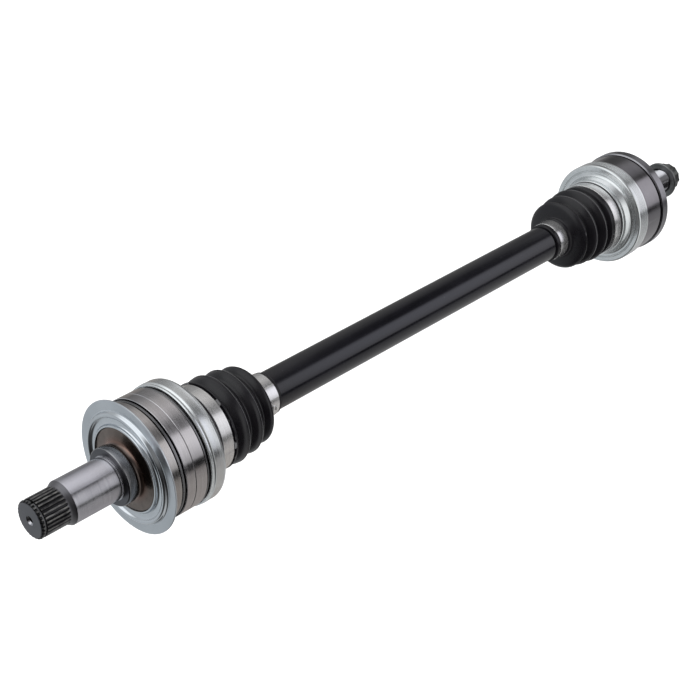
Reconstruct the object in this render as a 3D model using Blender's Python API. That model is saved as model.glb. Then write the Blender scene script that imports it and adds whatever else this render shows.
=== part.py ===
"""Drive shaft with two constant-velocity ball joints.

The shaft lies along X with the inboard (differential) end at -X and +Z up.
The origin is on the shaft axis, half way along. Lengths below are in millimetres.
"""
import math

import bmesh
import bpy
from mathutils import Matrix, Vector

MM = 0.001
SEG = 24                  # sides of a large turned part: a flat side faces straight down

# overall
TIP_IN = -390.0           # inboard stub's end face
TIP_OUT = 390.0           # outboard thread's end
GAP = 0.3                 # running gap between touching pieces

# joints: six balls each, caged in the plane that halves the bend
BALLS = 6
BALL_R = 8.5
PITCH_R = 30.5            # ball centres to joint centre
CAGE_OUT = 35.0
CAGE_IN = 29.0
CAGE_HALF = 11.5
RACE_R = 28.2
RACE_HALF = 10.0
TRACK_R = BALL_R + 1.7
CENTRE_IN = -278.5        # inboard joint centre on X
CENTRE_OUT = 285.6        # outboard joint centre on X
PLUNGE = 6.0              # the inboard joint slides this far each way

# shaft
TUBE_R = 16.0
TUBE_BORE_R = 11.5
SEAT_R = 14.2             # reduced seat under each boot's small end
WAIST_R = 12.0
SPIGOT_R = 9.2
SPLINE_R = 12.6
SHAFT_TEETH = 18

# inboard stub housing
STUB_TEETH = 28
STUB_SPLINE_R = 14.6
JOURNAL_R = 16.9
COLLAR_R = 22.5
BOSS_R = 32.4
CUP_R = 47.2
CUP_BACK = -304.6
CUP_MOUTH = -258.7
BORE_IN = 35.6
SHIELD_R = 52.2

# outboard stub housing
BELL_R = 46.9
BELL_MOUTH = 270.0
BELL_GROOVE_R = 44.0
RING_R = 48.1
SHOULDER_X = 318.0
SHOULDER_R = 31.0
HUB_TEETH = 24
HUB_SPLINE_R = 15.2
THREAD_R = 11.0
NUT_R = 13.9              # over the nut's twelve points
NUT_END = 388.4

COLOURS = {
    "machined_steel": ((0.42, 0.41, 0.40), 0.32, 1.0),
    "dark_steel": ((0.12, 0.12, 0.125), 0.38, 1.0),
    "zinc_plate": ((0.62, 0.65, 0.68), 0.30, 1.0),
    "stainless": ((0.66, 0.64, 0.62), 0.28, 1.0),
    "black_paint": ((0.012, 0.012, 0.014), 0.22, 0.0),
    "black_phosphate": ((0.03, 0.03, 0.032), 0.5, 0.6),
    "rubber": ((0.018, 0.018, 0.02), 0.5, 0.0),
    "bearing_steel": ((0.7, 0.7, 0.7), 0.12, 1.0),
}


def clear_scene():
    for obj in list(bpy.data.objects):
        bpy.data.objects.remove(obj, do_unlink=True)


def material(name):
    found = bpy.data.materials.get(name)
    if found:
        return found
    colour, rough, metal = COLOURS[name]
    made = bpy.data.materials.new(name)
    made.use_nodes = True
    made.diffuse_color = (*colour, 1.0)
    bsdf = made.node_tree.nodes["Principled BSDF"]
    bsdf.inputs["Base Color"].default_value = (*colour, 1.0)
    bsdf.inputs["Roughness"].default_value = rough
    bsdf.inputs["Metallic"].default_value = metal
    return made


def pivot(name, x, parent=None):
    """An empty on the shaft axis that carries what moves about that point."""
    empty = bpy.data.objects.new(name, None)
    bpy.context.scene.collection.objects.link(empty)
    empty.empty_display_size = 0.03
    if parent:
        empty.parent = parent
    base = parent.matrix_world.translation.x if parent else 0.0
    empty.location = (x * MM - base, 0.0, 0.0)
    bpy.context.view_layer.update()
    return empty


def place(bm, name, mat, at, cutter=False):
    """Turns a bmesh drawn in millimetres into an object whose origin is its pivot."""
    bmesh.ops.remove_doubles(bm, verts=bm.verts, dist=1e-4)
    bmesh.ops.recalc_face_normals(bm, faces=bm.faces)
    origin = at.matrix_world.translation
    bmesh.ops.transform(bm, matrix=Matrix.Scale(MM, 4), verts=bm.verts)
    bmesh.ops.translate(bm, vec=-origin, verts=bm.verts)
    mesh = bpy.data.meshes.new(name)
    bm.to_mesh(mesh)
    bm.free()
    mesh.materials.append(material(mat))
    mesh.shade_smooth()
    mesh.set_sharp_from_angle(angle=math.radians(30))
    obj = bpy.data.objects.new(name, mesh)
    bpy.context.scene.collection.objects.link(obj)
    obj.parent = at
    if cutter:
        obj.hide_render = True
        obj.display_type = "WIRE"
    return obj


def around(x, r, angle):
    return Vector((x, r * math.sin(angle), r * math.cos(angle)))


def turned(name, outline, mat, at, segments=SEG, closed=False, cutter=False):
    """A body turned about X. An open outline starts and ends on the axis, a closed one is a ring."""
    bm = bmesh.new()
    start = math.pi / segments
    verts = [bm.verts.new(around(x, r, start)) for x, r in outline]
    edges = [bm.edges.new(pair) for pair in zip(verts, verts[1:])]
    if closed:
        edges.append(bm.edges.new((verts[-1], verts[0])))
    bmesh.ops.spin(
        bm, geom=verts + edges, cent=(0, 0, 0), axis=(1, 0, 0),
        angle=2 * math.pi, steps=segments, use_merge=True,
    )
    return place(bm, name, mat, at, cutter)


def prism(name, sections, mat, at, cutter=False):
    """A body through cross-sections, each (x, [(radius, angle), ...]) with as many points."""
    bm = bmesh.new()
    rings = [[bm.verts.new(around(x, r, a)) for r, a in points] for x, points in sections]
    bm.faces.new(rings[0])
    bm.faces.new(rings[-1])
    for first, second in zip(rings, rings[1:]):
        count = len(first)
        for i in range(count):
            j = (i + 1) % count
            bm.faces.new((first[i], first[j], second[j], second[i]))
    return place(bm, name, mat, at, cutter)


def toothed(root, tip, teeth):
    """A serrated outline, one point on each tooth and one in each gap."""
    step = math.pi / teeth
    return [(tip if i % 2 == 0 else root, i * step) for i in range(2 * teeth)]


def spline(name, stations, teeth, mat, at, cutter=False):
    """A serrated shaft through stations of (x, root radius, tip radius)."""
    sections = [(x, toothed(root, tip, teeth)) for x, root, tip in stations]
    return prism(name, sections, mat, at, cutter)


def tube_path(name, points, radius, mat, at, sides=8, cutter=False):
    """A round bar along points in a plane through the axis, with flat ends."""
    bm = bmesh.new()
    rings = []
    for i, point in enumerate(points):
        before = points[max(i - 1, 0)]
        after = points[min(i + 1, len(points) - 1)]
        along = (after - before).normalized()
        out = Vector((0, point.y, point.z)).normalized()
        side = along.cross(out).normalized()
        up = side.cross(along)
        turn = [2 * math.pi * (k + 0.5) / sides for k in range(sides)]
        rings.append([
            bm.verts.new(point + radius * (math.cos(t) * up + math.sin(t) * side)) for t in turn
        ])
    bm.faces.new(rings[0])
    bm.faces.new(rings[-1])
    for first, second in zip(rings, rings[1:]):
        for k in range(sides):
            j = (k + 1) % sides
            bm.faces.new((first[k], first[j], second[j], second[k]))
    return place(bm, name, mat, at, cutter)


def ball(name, x, angle, mat, at):
    bm = bmesh.new()
    centre = around(x, PITCH_R, angle)
    bmesh.ops.create_uvsphere(
        bm, u_segments=8, v_segments=6, radius=BALL_R, matrix=Matrix.Translation(centre)
    )
    return place(bm, name, mat, at)


def boolean(obj, other, operation):
    made = obj.modifiers.new(f"{operation.lower()} {other.name}", "BOOLEAN")
    made.operation = operation
    made.solver = "EXACT"
    made.object = other


def ball_angles():
    """Six evenly spaced balls, the first straight up and the fourth straight down."""
    return [2 * math.pi * k / BALLS for k in range(BALLS)]


def arc_track(name, centre, angle, first, last, at):
    """The cutter of a curved ball track about the joint's centre."""
    steps = 5
    points = []
    for i in range(steps + 1):
        tilt = math.radians(first + (last - first) * i / steps)
        points.append(around(centre + PITCH_R * math.sin(tilt), PITCH_R * math.cos(tilt), angle))
    return tube_path(name, points, TRACK_R, "dark_steel", at, cutter=True)


def straight_track(name, x0, x1, angle, at):
    points = [around(x0, PITCH_R, angle), around(x1, PITCH_R, angle)]
    return tube_path(name, points, TRACK_R, "dark_steel", at, cutter=True)


def sphere_outline(centre, radius, half, steps):
    """Points of a ball's outline between two flat faces, from -X to +X."""
    limit = math.asin(half / radius)
    turns = [-limit + 2 * limit * i / steps for i in range(steps + 1)]
    return [(centre + radius * math.sin(t), radius * math.cos(t)) for t in turns]


def cage(name, centre, at):
    outer = sphere_outline(centre, CAGE_OUT, CAGE_HALF, 4)
    inner = sphere_outline(centre, CAGE_IN, CAGE_HALF, 4)
    body = turned(name, outer + inner[::-1], "bearing_steel", at, closed=True)
    half = BALL_R + 0.35
    for k, angle in enumerate(ball_angles()):
        bm = bmesh.new()
        bmesh.ops.create_cube(bm, size=1.0)
        shape = Matrix.Diagonal((2 * half, 21.0, 20.0, 1.0))
        lift = Matrix.Translation((centre, 0, 32.0))
        turn = Matrix.Rotation(-angle, 4, "X")
        bmesh.ops.transform(bm, matrix=turn @ lift @ shape, verts=bm.verts)
        window = place(bm, f"{name}_window_{k + 1}", "bearing_steel", at, cutter=True)
        boolean(body, window, "DIFFERENCE")
    return body


def inner_race(name, centre, curved, at):
    outer = sphere_outline(centre, RACE_R, RACE_HALF, 4)
    bore = [(centre + RACE_HALF, 12.4), (centre - RACE_HALF, 12.4)]
    body = turned(name, outer + bore, "bearing_steel", at, closed=True)
    for k, angle in enumerate(ball_angles()):
        track = f"{name}_track_{k + 1}"
        if curved:
            boolean(body, arc_track(track, centre, angle, -34, 34, at), "DIFFERENCE")
        else:
            boolean(body, straight_track(track, centre - 14, centre + 14, angle, at), "DIFFERENCE")
    reach = RACE_HALF + 2
    stations = [(centre - reach, 12.0, SPLINE_R + GAP), (centre + reach, 12.0, SPLINE_R + GAP)]
    teeth = spline(f"{name}_bore_teeth", stations, SHAFT_TEETH, "bearing_steel", at, cutter=True)
    boolean(body, teeth, "DIFFERENCE")
    return body


def balls(prefix, centre, at):
    """The first and fourth ball lie on the joint's upright bending axis."""
    for k, angle in enumerate(ball_angles()):
        ball(f"{prefix}_ball_{k + 1}", centre, angle, "bearing_steel", at)


def band(name, x0, x1, inner, thick, at, ear_angle=None, seam_angle=None):
    """A clamp band: a strip rolled round a boot, with an overlapped end or a raised ear."""
    count = 32
    outline = []
    for k in range(count):
        angle = 2 * math.pi * (k + 0.5) / count
        reach = inner + thick
        if seam_angle is not None:
            turned_by = (angle - seam_angle) % (2 * math.pi)
            if turned_by < math.radians(70):
                reach += 0.45 * thick
        if ear_angle is not None:
            off = (angle - ear_angle + math.pi) % (2 * math.pi) - math.pi
            if abs(off) < math.radians(12):
                reach += 2.3
        outline.append((reach, angle))
    bm = bmesh.new()
    faces = []
    for x in (x0, x1):
        outside = [bm.verts.new(around(x, r, a)) for r, a in outline]
        inside = [bm.verts.new(around(x, inner, a)) for _, a in outline]
        faces.append((outside, inside))
    (out0, in0), (out1, in1) = faces
    for k in range(count):
        j = (k + 1) % count
        bm.faces.new((out0[k], out0[j], out1[j], out1[k]))
        bm.faces.new((in0[k], in1[k], in1[j], in0[j]))
        bm.faces.new((out0[k], in0[k], in0[j], out0[j]))
        bm.faces.new((out1[k], out1[j], in1[j], in1[k]))
    return place(bm, name, "stainless", at)


def snap_ring(name, x0, x1, inner, outer, at, segments=16):
    """A flat open ring: the gap is a wedge cut at the top."""
    outline = [(x0, inner), (x0, outer), (x1, outer), (x1, inner)]
    ring = turned(name, outline, "dark_steel", at, segments=segments, closed=True)
    bm = bmesh.new()
    bmesh.ops.create_cube(bm, size=1.0)
    shape = Matrix.Diagonal((x1 - x0 + 4, 3.0, outer, 1.0))
    lift = Matrix.Translation(((x0 + x1) / 2, 0, outer))
    bmesh.ops.transform(bm, matrix=lift @ shape, verts=bm.verts)
    boolean(ring, place(bm, f"{name}_gap", "dark_steel", at, cutter=True), "DIFFERENCE")
    return ring


def inboard_housing_side(at):
    """What turns with the differential's side gear."""
    base = STUB_SPLINE_R - 1.1
    outline = [
        (TIP_IN, 0), (TIP_IN, 12.6), (TIP_IN + 0.9, base), (-387.8, base), (-387.8, base - 1.4),
        (-385.4, base - 1.4), (-385.4, base), (-366.8, base), (-366.4, STUB_SPLINE_R),
        (-362.8, JOURNAL_R), (-324.6, JOURNAL_R), (-324.0, 16.4), (-322.5, 17.0),
        (-322.5, 21.6), (-321.6, COLLAR_R), (-315.0, COLLAR_R), (-314.6, 20.5),
        (-312.6, 20.5), (-310.4, 23.4), (-309.9, 28.2), (-309.9, BOSS_R),
        (CUP_BACK, BOSS_R), (CUP_BACK, 45.4), (CUP_BACK + 0.9, 46.3), (-296.7, 46.3),
        (-296.3, 44.5), (-293.4, 44.5), (-293.2, CUP_R), (-272.6, CUP_R),
        (-272.6, 45.0), (-270.6, 45.0), (-270.6, 46.7), (CUP_MOUTH, 46.5),
        (CUP_MOUTH, BORE_IN), (-293.6, BORE_IN), (-302.4, 31.2), (-302.9, 0),
    ]
    body = turned("inboard_stub_housing", outline, "machined_steel", at)
    hidden = base - 3.0
    rim = spline(
        "inboard_stub_rim_teeth",
        [(TIP_IN + 0.5, hidden, base), (TIP_IN + 1.4, base - 0.3, STUB_SPLINE_R),
         (-387.8, base - 0.3, STUB_SPLINE_R)],
        STUB_TEETH, "dark_steel", at, cutter=True,
    )
    boolean(body, rim, "UNION")
    main = spline(
        "inboard_stub_teeth",
        [(-385.4, base - 0.3, STUB_SPLINE_R), (-366.0, base - 0.3, STUB_SPLINE_R)],
        STUB_TEETH, "dark_steel", at, cutter=True,
    )
    boolean(body, main, "UNION")
    drill = turned(
        "inboard_stub_centre_drill",
        [(TIP_IN - 1.0, 0), (TIP_IN - 1.0, 4.6), (TIP_IN + 3.2, 1.6), (TIP_IN + 8.0, 1.6),
         (TIP_IN + 9.0, 0)],
        "dark_steel", at, segments=12, cutter=True,
    )
    boolean(body, drill, "DIFFERENCE")
    for k, angle in enumerate(ball_angles()):
        track = straight_track(
            f"inboard_cup_track_{k + 1}", CENTRE_IN - 14.5 - PLUNGE, CUP_MOUTH + 8, angle, at
        )
        boolean(body, track, "DIFFERENCE")
    snap_ring("inboard_stub_circlip", -387.5, -385.7, base - 1.1, STUB_SPLINE_R + 0.2, at)

    shield = [
        (-309.9, 33.9), (-308.4, 34.3), (-307.2, 36.2), (-308.3, 40.4), (-307.6, 42.4),
        (-306.1, 44.4), (-306.1, SHIELD_R), (-304.9, SHIELD_R), (-304.9, 44.6),
        (-307.1, 40.5), (-306.0, 37.0), (-306.2, BOSS_R + 0.6), (-309.7, BOSS_R + 0.6),
    ]
    turned("inboard_dust_shield", shield, "zinc_plate", at, closed=True)
    seal = [(-272.3, 45.3), (-272.3, 46.9), (-271.2, 46.9), (-270.9, 45.3)]
    turned("inboard_seal_ring", seal, "rubber", at, closed=True)
    can = [
        (-270.6, 47.1), (-270.6, 47.8), (-269.7, 48.6), (-257.9, 48.5), (-255.5, 47.3),
        (-254.8, 45.4), (-254.8, 30.9), (-233.2, 30.9), (-233.2, 29.7), (-256.0, 29.7),
        (-256.0, 45.8), (-257.4, 47.1),
    ]
    turned("inboard_boot_can", can, "zinc_plate", at, closed=True)
    cuff = [
        (-251.0, 31.2), (-251.0, 33.2), (-235.1, 33.2), (-234.8, 35.1), (-232.0, 35.1),
        (-230.6, 32.6), (-230.6, 30.2), (-232.6, 31.2),
    ]
    turned("inboard_boot_cuff", cuff, "rubber", at, closed=True)
    band("inboard_large_clamp", -245.1, -235.4, 33.5, 0.8, at, seam_angle=math.radians(200))


def inboard_boot_fold_1(at):
    fold = [
        (-230.3, 30.2), (-230.3, 32.6), (-222.6, 35.4), (-217.6, 35.0), (-212.4, 31.0),
        (-212.4, 28.6), (-218.6, 32.4), (-222.2, 32.8),
    ]
    turned("inboard_boot_fold_1", fold, "rubber", at, closed=True)


def inboard_boot_fold_2(at):
    fold = [
        (-212.1, 28.6), (-212.1, 31.0), (-207.0, 33.8), (-203.8, 33.6), (-198.1, 28.6),
        (-198.1, 26.2), (-204.6, 30.9), (-207.0, 31.2),
    ]
    turned("inboard_boot_fold_2", fold, "rubber", at, closed=True)


def inboard_shaft_side(at):
    neck = [
        (-197.8, 26.2), (-197.8, 28.6), (-193.4, 31.6), (-189.6, 28.6), (-184.0, 16.8),
        (-173.0, 16.8), (-172.8, 17.3), (-170.5, 17.2), (-170.5, SEAT_R + GAP),
        (-184.4, SEAT_R + GAP), (-191.0, 26.8), (-193.6, 28.8),
    ]
    turned("inboard_boot_neck", neck, "rubber", at, closed=True)
    band("inboard_small_clamp", -183.2, -173.2, 17.1, 0.6, at, seam_angle=math.radians(-80))
    inner_race("inboard_inner_race", CENTRE_IN, False, at)
    shaft_end("inboard_shaft_end", CENTRE_IN, -184.3, -1, at)
    groove = CENTRE_IN - RACE_HALF
    snap_ring("inboard_race_circlip", groove - 1.9, groove - 0.4, 11.2, 14.2, at)


def shaft_end(name, centre, face, side, at):
    """A solid end: spigot in the tube's bore, shoulder against the race, spline and snap ring groove."""
    tip = centre + side * 13.5
    race_out = centre + side * RACE_HALF
    race_in = centre - side * RACE_HALF
    outline = [
        (face - side * 16.0, 0), (face - side * 16.0, 8.4), (face - side * 15.2, SPIGOT_R),
        (face, SPIGOT_R), (face, SEAT_R), (face + side * 2.4, WAIST_R),
        (race_in - side * 5.6, WAIST_R), (race_in - side * 2.6, 15.0), (race_in - side * GAP, 15.0),
        (race_in - side * GAP, 11.4), (race_out + side * 0.2, 11.4), (race_out + side * 0.2, 10.6),
        (race_out + side * 2.1, 10.6), (race_out + side * 2.1, 11.6), (tip - side * 0.8, 11.6),
        (tip, 10.6), (tip, 0),
    ]
    body = turned(name, outline, "machined_steel", at, segments=16)
    stations = [
        (race_out, 11.0, SPLINE_R), (race_in - side * 0.6, 11.0, SPLINE_R),
    ]
    stations.sort()
    teeth = spline(f"{name}_teeth", stations, SHAFT_TEETH, "machined_steel", at, cutter=True)
    boolean(body, teeth, "UNION")
    return body


def axle_tube(at):
    outline = [
        (-184.0, SPIGOT_R + GAP), (-184.0, SEAT_R), (-170.2, SEAT_R), (-169.4, TUBE_R),
        (177.4, TUBE_R), (178.2, SEAT_R), (193.8, SEAT_R), (193.8, SPIGOT_R + GAP),
        (176.0, SPIGOT_R + GAP), (172.0, TUBE_BORE_R), (-164.0, TUBE_BORE_R),
        (-168.0, SPIGOT_R + GAP),
    ]
    turned("axle_tube", outline, "black_paint", at, closed=True)


def outboard_shaft_side(at):
    neck = [
        (178.5, SEAT_R + GAP), (178.5, 17.0), (182.2, 17.2), (182.4, 16.8), (192.9, 16.8),
        (197.4, 19.0), (201.6, 29.4), (204.0, 31.5), (210.7, 27.6), (210.7, 25.2),
        (203.8, 28.6), (199.4, 19.6), (193.6, SEAT_R + GAP),
    ]
    turned("outboard_boot_neck", neck, "rubber", at, closed=True)
    band("outboard_small_clamp", 182.6, 192.6, 17.1, 0.6, at, ear_angle=math.radians(158))
    inner_race("outboard_inner_race", CENTRE_OUT, True, at)
    shaft_end("outboard_shaft_end", CENTRE_OUT, 194.1, 1, at)
    groove = CENTRE_OUT + RACE_HALF
    snap_ring("outboard_race_circlip", groove + 0.4, groove + 1.9, 11.2, 14.2, at)


def outboard_boot_folds(at):
    folds = [
        (211.0, 25.2), (211.0, 27.6), (216.4, 33.2), (218.8, 33.2), (224.6, 29.4),
        (230.0, 34.8), (232.4, 34.8), (237.6, 31.8), (237.6, 29.4), (231.1, 32.2),
        (224.6, 26.8), (217.6, 30.8),
    ]
    turned("outboard_boot_folds", folds, "rubber", at, closed=True)


def outboard_housing_side(at):
    """What turns with the wheel's hub."""
    hollow = CAGE_OUT + 0.9
    edge = math.sqrt(hollow ** 2 - (CENTRE_OUT - BELL_MOUTH - 1.0) ** 2)
    cavity = []
    first = BELL_MOUTH + 1.0 - CENTRE_OUT
    last = 20.5
    for i in range(6):
        x = last + (first - last) * i / 5
        cavity.append((CENTRE_OUT + x, math.sqrt(hollow ** 2 - x * x)))
    root = HUB_SPLINE_R - 1.1
    outline = [
        (CENTRE_OUT + last, 0), *cavity, (BELL_MOUTH, edge + 1.2), (BELL_MOUTH, 46.4),
        (279.0, 46.4), (279.0, 45.0), (280.4, 45.0),
        (280.4, BELL_R), (301.6, BELL_R), (301.8, BELL_GROOVE_R), (311.4, BELL_GROOVE_R),
        (314.8, SHOULDER_R), (SHOULDER_X, SHOULDER_R), (SHOULDER_X, root + 1.2),
        (SHOULDER_X + 1.4, root), (355.0, root), (356.6, THREAD_R - 0.9),
        (358.6, THREAD_R - 0.9), (359.4, THREAD_R), (TIP_OUT - 1.2, THREAD_R),
        (TIP_OUT, THREAD_R - 1.2), (TIP_OUT, 3.0), (TIP_OUT - 3.0, 0),
    ]
    body = turned("outboard_stub_housing", outline, "machined_steel", at)
    teeth = spline(
        "outboard_stub_teeth",
        [(SHOULDER_X + 2.4, root - 0.3, HUB_SPLINE_R), (353.8, root - 0.3, HUB_SPLINE_R),
         (354.9, root - 2.0, root - 0.2)],
        HUB_TEETH, "machined_steel", at, cutter=True,
    )
    boolean(body, teeth, "UNION")
    for k, angle in enumerate(ball_angles()):
        track = arc_track(f"outboard_bell_track_{k + 1}", CENTRE_OUT, angle, -52, 29, at)
        boolean(body, track, "DIFFERENCE")

    ring = [
        (303.3, BELL_GROOVE_R + GAP), (303.3, RING_R - 0.6), (303.9, RING_R),
        (312.2, RING_R), (312.2, BELL_GROOVE_R + GAP),
    ]
    turned("outboard_dust_ring", ring, "machined_steel", at, closed=True)
    seal = [(279.2, 45.3), (279.2, 46.8), (280.2, 46.8), (280.2, 45.3)]
    turned("outboard_seal_ring", seal, "rubber", at, closed=True)
    can = [
        (243.2, 30.1), (243.2, 31.3), (255.4, 31.3), (255.6, 35.6), (260.4, 36.4),
        (263.8, 38.2), (265.2, 41.4), (265.2, 46.8), (266.4, 48.0), (278.9, 48.0),
        (278.9, 46.8), (266.6, 46.8), (266.4, 41.4), (263.4, 36.9), (256.8, 34.6),
        (256.6, 30.1),
    ]
    turned("outboard_boot_can", can, "zinc_plate", at, closed=True)
    cuff = [
        (237.9, 29.4), (237.9, 31.8), (241.0, 34.3), (244.2, 34.3), (244.4, 33.9),
        (253.9, 33.9), (254.1, 35.3), (255.2, 35.3), (255.2, 31.6), (242.4, 31.6),
    ]
    turned("outboard_boot_cuff", cuff, "rubber", at, closed=True)
    band("outboard_large_clamp", 244.6, 253.8, 34.2, 0.8, at, seam_angle=math.radians(200))
    axle_nut(at)


def axle_nut(at):
    """A twelve-point nut with a round flange towards the hub."""
    points = [(NUT_R if k % 2 == 0 else NUT_R - 0.9, 2 * math.pi * k / 24) for k in range(24)]
    body = prism("axle_nut", [(374.6, points), (NUT_END, points)], "black_phosphate", at)
    flange = turned(
        "axle_nut_flange",
        [(372.2, 0), (372.2, 17.2), (372.8, 17.8), (374.2, 17.8), (375.6, 14.6), (375.6, 0)],
        "black_phosphate", at, segments=24, cutter=True,
    )
    boolean(body, flange, "UNION")
    bore = turned(
        "axle_nut_bore",
        [(371.0, 0), (371.0, 12.9), (373.2, THREAD_R + GAP), (NUT_END + 1, THREAD_R + GAP),
         (NUT_END + 1, 0)],
        "black_phosphate", at, cutter=True,
    )
    boolean(body, bore, "DIFFERENCE")


def main():
    clear_scene()
    frame = pivot("axle", 0.0)
    inboard = pivot("inboard_joint_centre", CENTRE_IN, frame)
    outboard = pivot("outboard_joint_centre", CENTRE_OUT, frame)
    inboard_housing_side(inboard)
    inboard_boot_fold_1(inboard)
    inboard_boot_fold_2(inboard)
    cage("inboard_cage", CENTRE_IN, inboard)
    balls("inboard", CENTRE_IN, inboard)
    inboard_shaft_side(inboard)
    axle_tube(frame)
    outboard_shaft_side(outboard)
    cage("outboard_cage", CENTRE_OUT, outboard)
    balls("outboard", CENTRE_OUT, outboard)
    outboard_boot_folds(outboard)
    outboard_housing_side(outboard)


main()
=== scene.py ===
"""Looks of the drive shaft: detailed pieces, materials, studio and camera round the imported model.

Lengths in the outlines are millimetres in the part's own frame: X along the shaft, +Z up.
"""
import math

import bmesh
import bpy
from mathutils import Matrix, Vector

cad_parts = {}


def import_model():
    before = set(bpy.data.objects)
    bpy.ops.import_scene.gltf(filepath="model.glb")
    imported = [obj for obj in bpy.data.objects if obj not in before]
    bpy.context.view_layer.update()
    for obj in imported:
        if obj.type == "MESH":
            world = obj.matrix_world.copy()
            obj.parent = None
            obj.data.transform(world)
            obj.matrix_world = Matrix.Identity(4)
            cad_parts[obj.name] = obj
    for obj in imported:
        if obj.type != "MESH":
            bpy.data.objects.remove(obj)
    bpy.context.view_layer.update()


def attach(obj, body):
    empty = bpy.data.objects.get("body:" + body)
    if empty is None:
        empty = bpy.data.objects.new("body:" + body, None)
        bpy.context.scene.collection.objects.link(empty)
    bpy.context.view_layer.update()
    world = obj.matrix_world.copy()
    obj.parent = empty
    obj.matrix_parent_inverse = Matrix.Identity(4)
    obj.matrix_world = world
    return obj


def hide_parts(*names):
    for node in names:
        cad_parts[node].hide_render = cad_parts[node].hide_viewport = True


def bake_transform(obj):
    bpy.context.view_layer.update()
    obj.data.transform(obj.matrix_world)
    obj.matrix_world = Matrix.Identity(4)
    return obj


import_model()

MM = 0.001
TAU = 2 * math.pi
ROUND = 144                 # sides of a plain turned piece
BALLS = 6
BALL_R = 8.5
PITCH_R = 30.5              # ball centres to joint centre
TRACK_R = 9.6
CENTRE_IN = -278.5          # joint centres on X
CENTRE_OUT = 285.6
CAGE_OUT = 35.0             # radii and half length of each cage
CAGE_IN = 29.0
CAGE_HALF = 11.5
WINDOW_HALF = 10.3          # half the width of a cage window round the cage
WINDOW_CORNER = 2.2
RACE_R = 28.2
RACE_HALF = 10.0
STUB_TEETH = 28
HUB_TEETH = 24
HIDDEN_TEETH = 24           # splines inside both joints
HIDDEN_DEPTH = 0.7
NUT_POINTS = 12
NUT_DEPTH = 0.9
LAP_RAMP = 0.025            # radians over which a clamp's outer end rises
EAR_HALF = 0.30             # radians to each side of a clamp's ear
EAR_RAMP = 0.06
EAR_RISE = 2.4
CLAMP_EDGE = 0.18
RING_BEVEL = 0.25
SUPPORT = 0.35              # rings this far beside a rounded corner keep a flat's shading flat

STUB = "inboard_stub"
SLIDER = "inboard_slider"
SHAFT = "shaft"
HUB = "outboard_stub"


# ---------------------------------------------------------------- materials

class Nodes:
    """Adds nodes to one node tree and links them."""

    def __init__(self, tree):
        self.tree = tree

    def add(self, kind, **settings):
        node = self.tree.nodes.new(kind)
        for key, value in settings.items():
            setattr(node, key, value)
        return node

    def link(self, source, target):
        self.tree.links.new(source, target)

    def ramp(self, source, stops):
        """A colour ramp. A stop is (place, colour) or (place, grey)."""
        node = self.add("ShaderNodeValToRGB")
        items = node.color_ramp.elements
        while len(items) < len(stops):
            items.new(0.5)
        for item, (at, colour) in zip(items, stops):
            item.position = at
            item.color = (*(colour if isinstance(colour, tuple) else (colour,) * 3), 1.0)
        self.link(source, node.inputs[0])
        return node.outputs[0]

    def remap(self, source, low, high, to_low=0.0, to_high=1.0, kind="LINEAR"):
        node = self.add("ShaderNodeMapRange", interpolation_type=kind)
        for key, value in zip((1, 2, 3, 4), (low, high, to_low, to_high)):
            node.inputs[key].default_value = value
        self.link(source, node.inputs[0])
        return node.outputs[0]

    def mix(self, factor, one, two, blend="MIX"):
        node = self.add("ShaderNodeMix", data_type="RGBA", blend_type=blend)
        for socket, value in ((node.inputs[0], factor), (node.inputs[6], one), (node.inputs[7], two)):
            if isinstance(value, bpy.types.NodeSocket):
                self.link(value, socket)
            elif isinstance(value, (int, float)):
                socket.default_value = value
            else:
                socket.default_value = (*value, 1.0)
        return node.outputs[2]


class Surface(Nodes):
    """A material, with the patterns that the pieces share."""

    def __init__(self, name):
        self.material = bpy.data.materials.new(name)
        self.material.use_nodes = True
        super().__init__(self.material.node_tree)
        self.bsdf = self.tree.nodes["Principled BSDF"]
        self.place = self.add("ShaderNodeTexCoord").outputs["Object"]

    def stretched(self, scale):
        """The object's coordinates in metres times a scale on each axis."""
        node = self.add("ShaderNodeVectorMath", operation="MULTIPLY")
        self.link(self.place, node.inputs[0])
        node.inputs[1].default_value = scale
        return node.outputs[0]

    def noise(self, scale, detail=2.0, rough=0.5):
        node = self.add("ShaderNodeTexNoise")
        node.inputs["Scale"].default_value = 1.0
        node.inputs["Detail"].default_value = detail
        node.inputs["Roughness"].default_value = rough
        self.link(self.stretched(scale), node.inputs["Vector"])
        return node.outputs["Fac"]

    def bump(self, height, strength, distance, onto=None):
        node = self.add("ShaderNodeBump")
        node.inputs["Strength"].default_value = strength
        node.inputs["Distance"].default_value = distance
        self.link(height, node.inputs["Height"])
        if onto is not None:
            self.link(onto, node.inputs["Normal"])
        return node.outputs["Normal"]

    def along(self):
        """The place along the shaft, in metres."""
        node = self.add("ShaderNodeSeparateXYZ")
        self.link(self.place, node.inputs[0])
        return node.outputs[0]

    def from_axis(self):
        """The distance from the shaft's axis, in metres."""
        node = self.add("ShaderNodeVectorMath", operation="LENGTH")
        self.link(self.stretched((0.0, 1.0, 1.0)), node.inputs[0])
        return node.outputs["Value"]


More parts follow.
